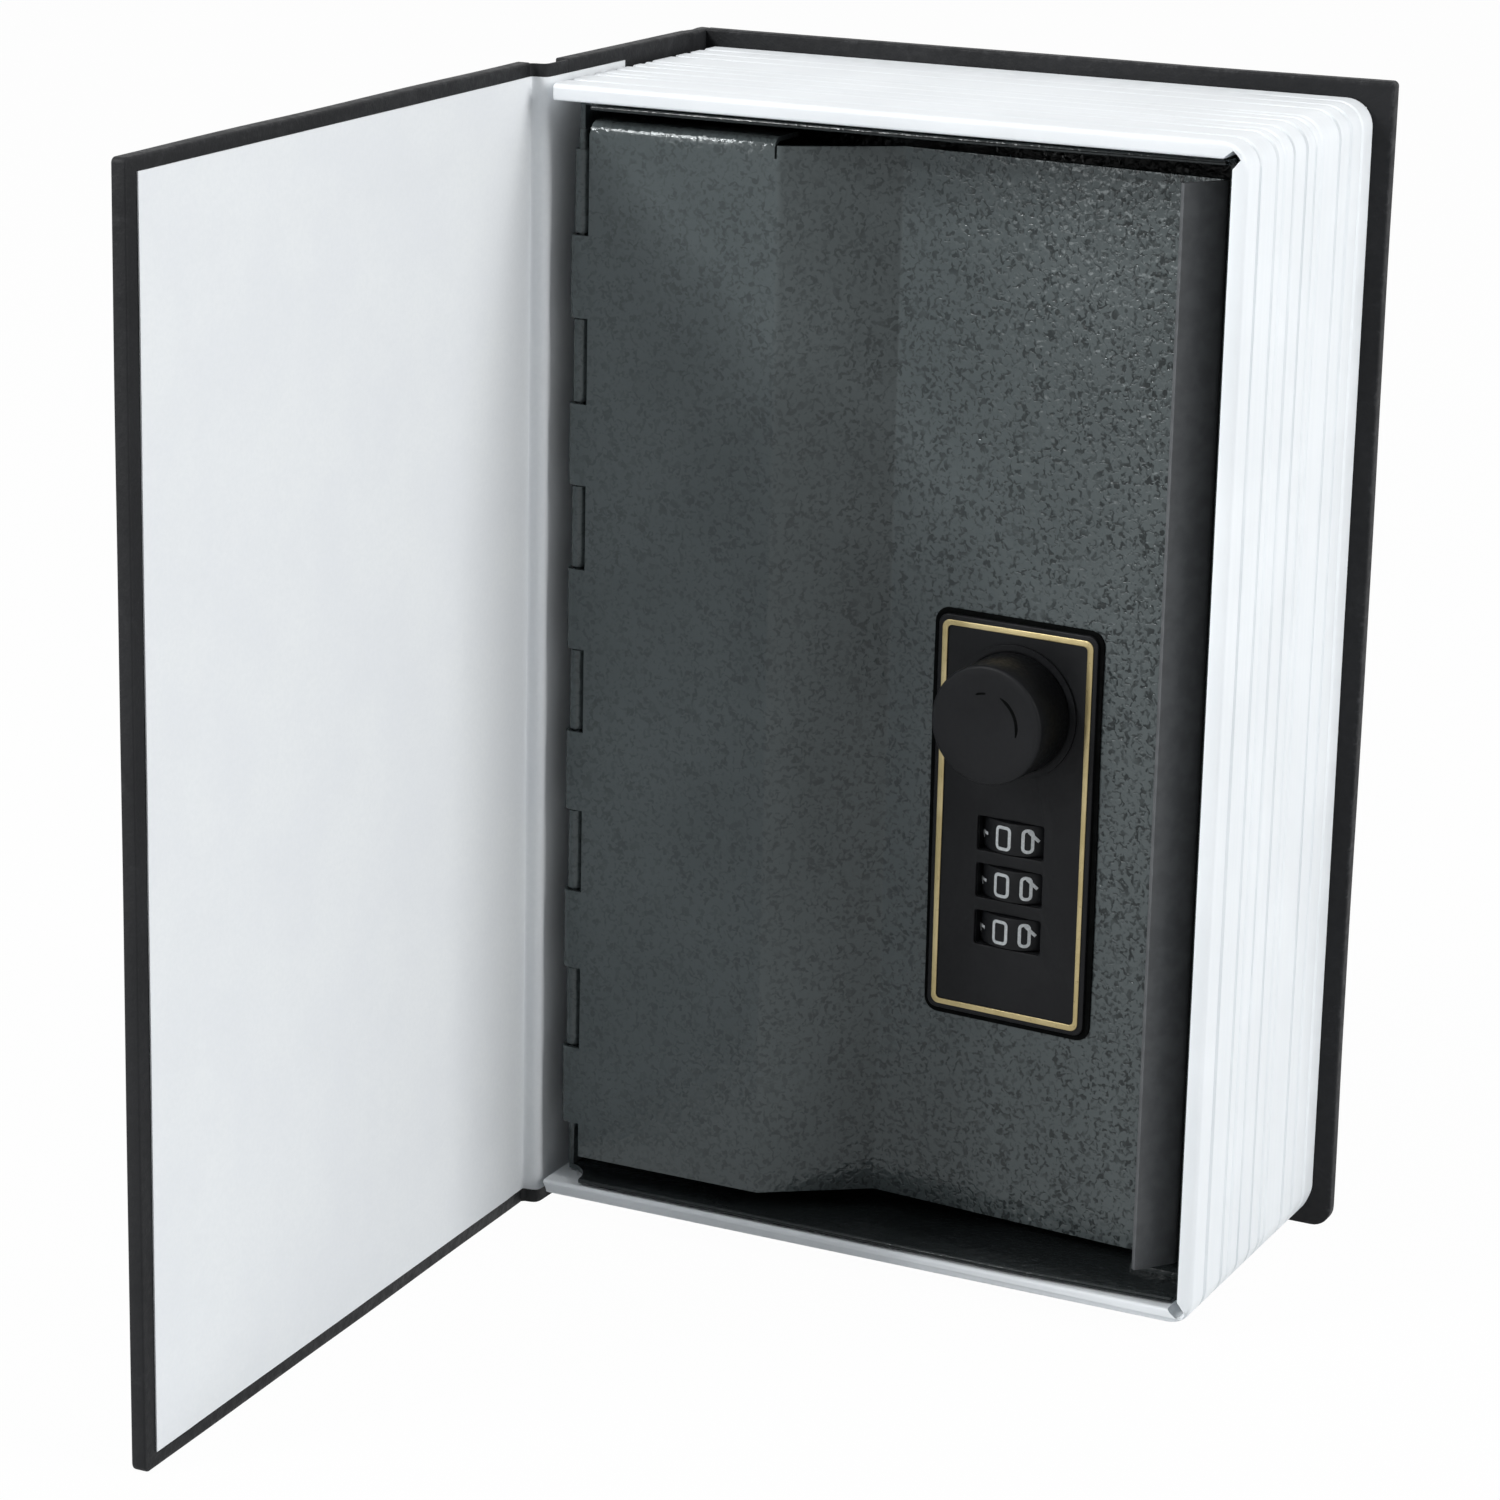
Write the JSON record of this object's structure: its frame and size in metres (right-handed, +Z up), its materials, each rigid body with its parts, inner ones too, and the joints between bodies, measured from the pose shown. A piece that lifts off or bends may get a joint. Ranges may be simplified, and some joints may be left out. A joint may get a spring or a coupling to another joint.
{
  "type": "book diversion safe",
  "caption": "Upright book-shaped lock box: hinged cover, ribbed page block, steel box and hinged door with turn knob and number wheels.",
  "frame": {"origin": "middle of the footprint at rest (cover open), on the surface that the book stands on", "axes": "+Z up along the spine towards the head, +Y from the open front towards the back cover, +X from the spine towards the fore-edge"},
  "size_m": [0.1184, 0.166, 0.18],
  "materials": {
    "leatherette": "black leatherette paper, fine grain",
    "greyboard": "grey book board, hidden by the covering",
    "endpaper": "white paper, matt",
    "page_plastic": "white moulded plastic, satin, ribbed",
    "hammertone": "dark grey hammertone paint on steel",
    "lock_plastic": "black plastic, satin",
    "gold": "gold-coloured line, satin",
    "zinc": "zinc-plated steel",
    "brass": "plain brass"
  },
  "bodies": {
    "case": {"joint_cloth": "leatherette", "joint_endpaper": "endpaper", "spine_board": "greyboard", "spine_cloth": "leatherette", "spine_endpaper": "endpaper", "back_board": "greyboard", "back_cloth": "leatherette", "page_tray": "page_plastic", "steel_box": "hammertone", "hinge_pin": "hammertone", "strike": "hammertone", "box_rivet_1": "zinc", "box_rivet_2": "zinc", "box_rivet_3": "zinc", "box_rivet_4": "zinc"},
    "front_cover": {"front_board": "greyboard", "front_cloth": "leatherette", "front_endpaper": "endpaper"},
    "door": {"door": "hammertone", "lock_plate": "lock_plastic", "gold_line": "gold", "knob_collar": "lock_plastic", "lock_case": "lock_plastic", "wheel_axle": "zinc", "detent_spring": "zinc", "lock_screw_head": "zinc", "lock_screw_tail": "zinc"},
    "knob": {"knob": "lock_plastic", "spindle": "zinc", "latch_cam": "zinc", "cam_nut": "zinc"},
    "wheel_1": {"number_wheel_1": "lock_plastic", "clutch_sleeve_1": "brass"},
    "wheel_2": {"number_wheel_2": "lock_plastic", "clutch_sleeve_2": "brass"},
    "wheel_3": {"number_wheel_3": "lock_plastic", "clutch_sleeve_3": "brass"},
    "follower": {"follower_bar": "zinc"},
    "code_lever": {"code_lever": "lock_plastic"}
  },
  "joints": [
    {"name": "cover_hinge", "type": "hinge", "parent": "case", "child": "front_cover", "pos_m": [-0.05321, 0.02956, 0.09], "axis": [0, 0, -1], "range_deg": [-88.3, 90], "deforming": ["joint_cloth", "joint_endpaper"]},
    {"name": "door_hinge", "type": "hinge", "parent": "case", "child": "door", "pos_m": [-0.04884, 0.03084, 0.09], "axis": [0, 0, -1], "range_deg": [0, 90]},
    {"name": "knob_turn", "type": "hinge", "parent": "door", "child": "knob", "pos_m": [0.02077, 0.03799, 0.0893], "axis": [0.0758, 0.9971, 0], "range_deg": [-90, 0]},
    {"name": "wheel_1_turn", "type": "hinge", "parent": "door", "child": "wheel_1", "pos_m": [0.02118, 0.04337, 0.06978], "axis": [0, 0, 1], "continuous": true},
    {"name": "wheel_2_turn", "type": "hinge", "parent": "door", "child": "wheel_2", "pos_m": [0.02118, 0.04337, 0.06244], "axis": [0, 0, 1], "continuous": true},
    {"name": "wheel_3_turn", "type": "hinge", "parent": "door", "child": "wheel_3", "pos_m": [0.02118, 0.04337, 0.0551], "axis": [0, 0, 1], "continuous": true},
    {"name": "follower_slide", "type": "slide", "parent": "door", "child": "follower", "axis": [0.9971, -0.0758, 0], "range_m": [0, 0.0012]},
    {"name": "code_lever_turn", "type": "hinge", "parent": "door", "child": "code_lever", "pos_m": [0.02184, 0.05195, 0.0514], "axis": [0.0758, 0.9971, 0], "range_deg": [0, 60]}
  ],
  "couplings": [
    {"joint": "follower_slide", "follows": "knob_turn", "m_per_rad": -0.00076394}
  ]
}
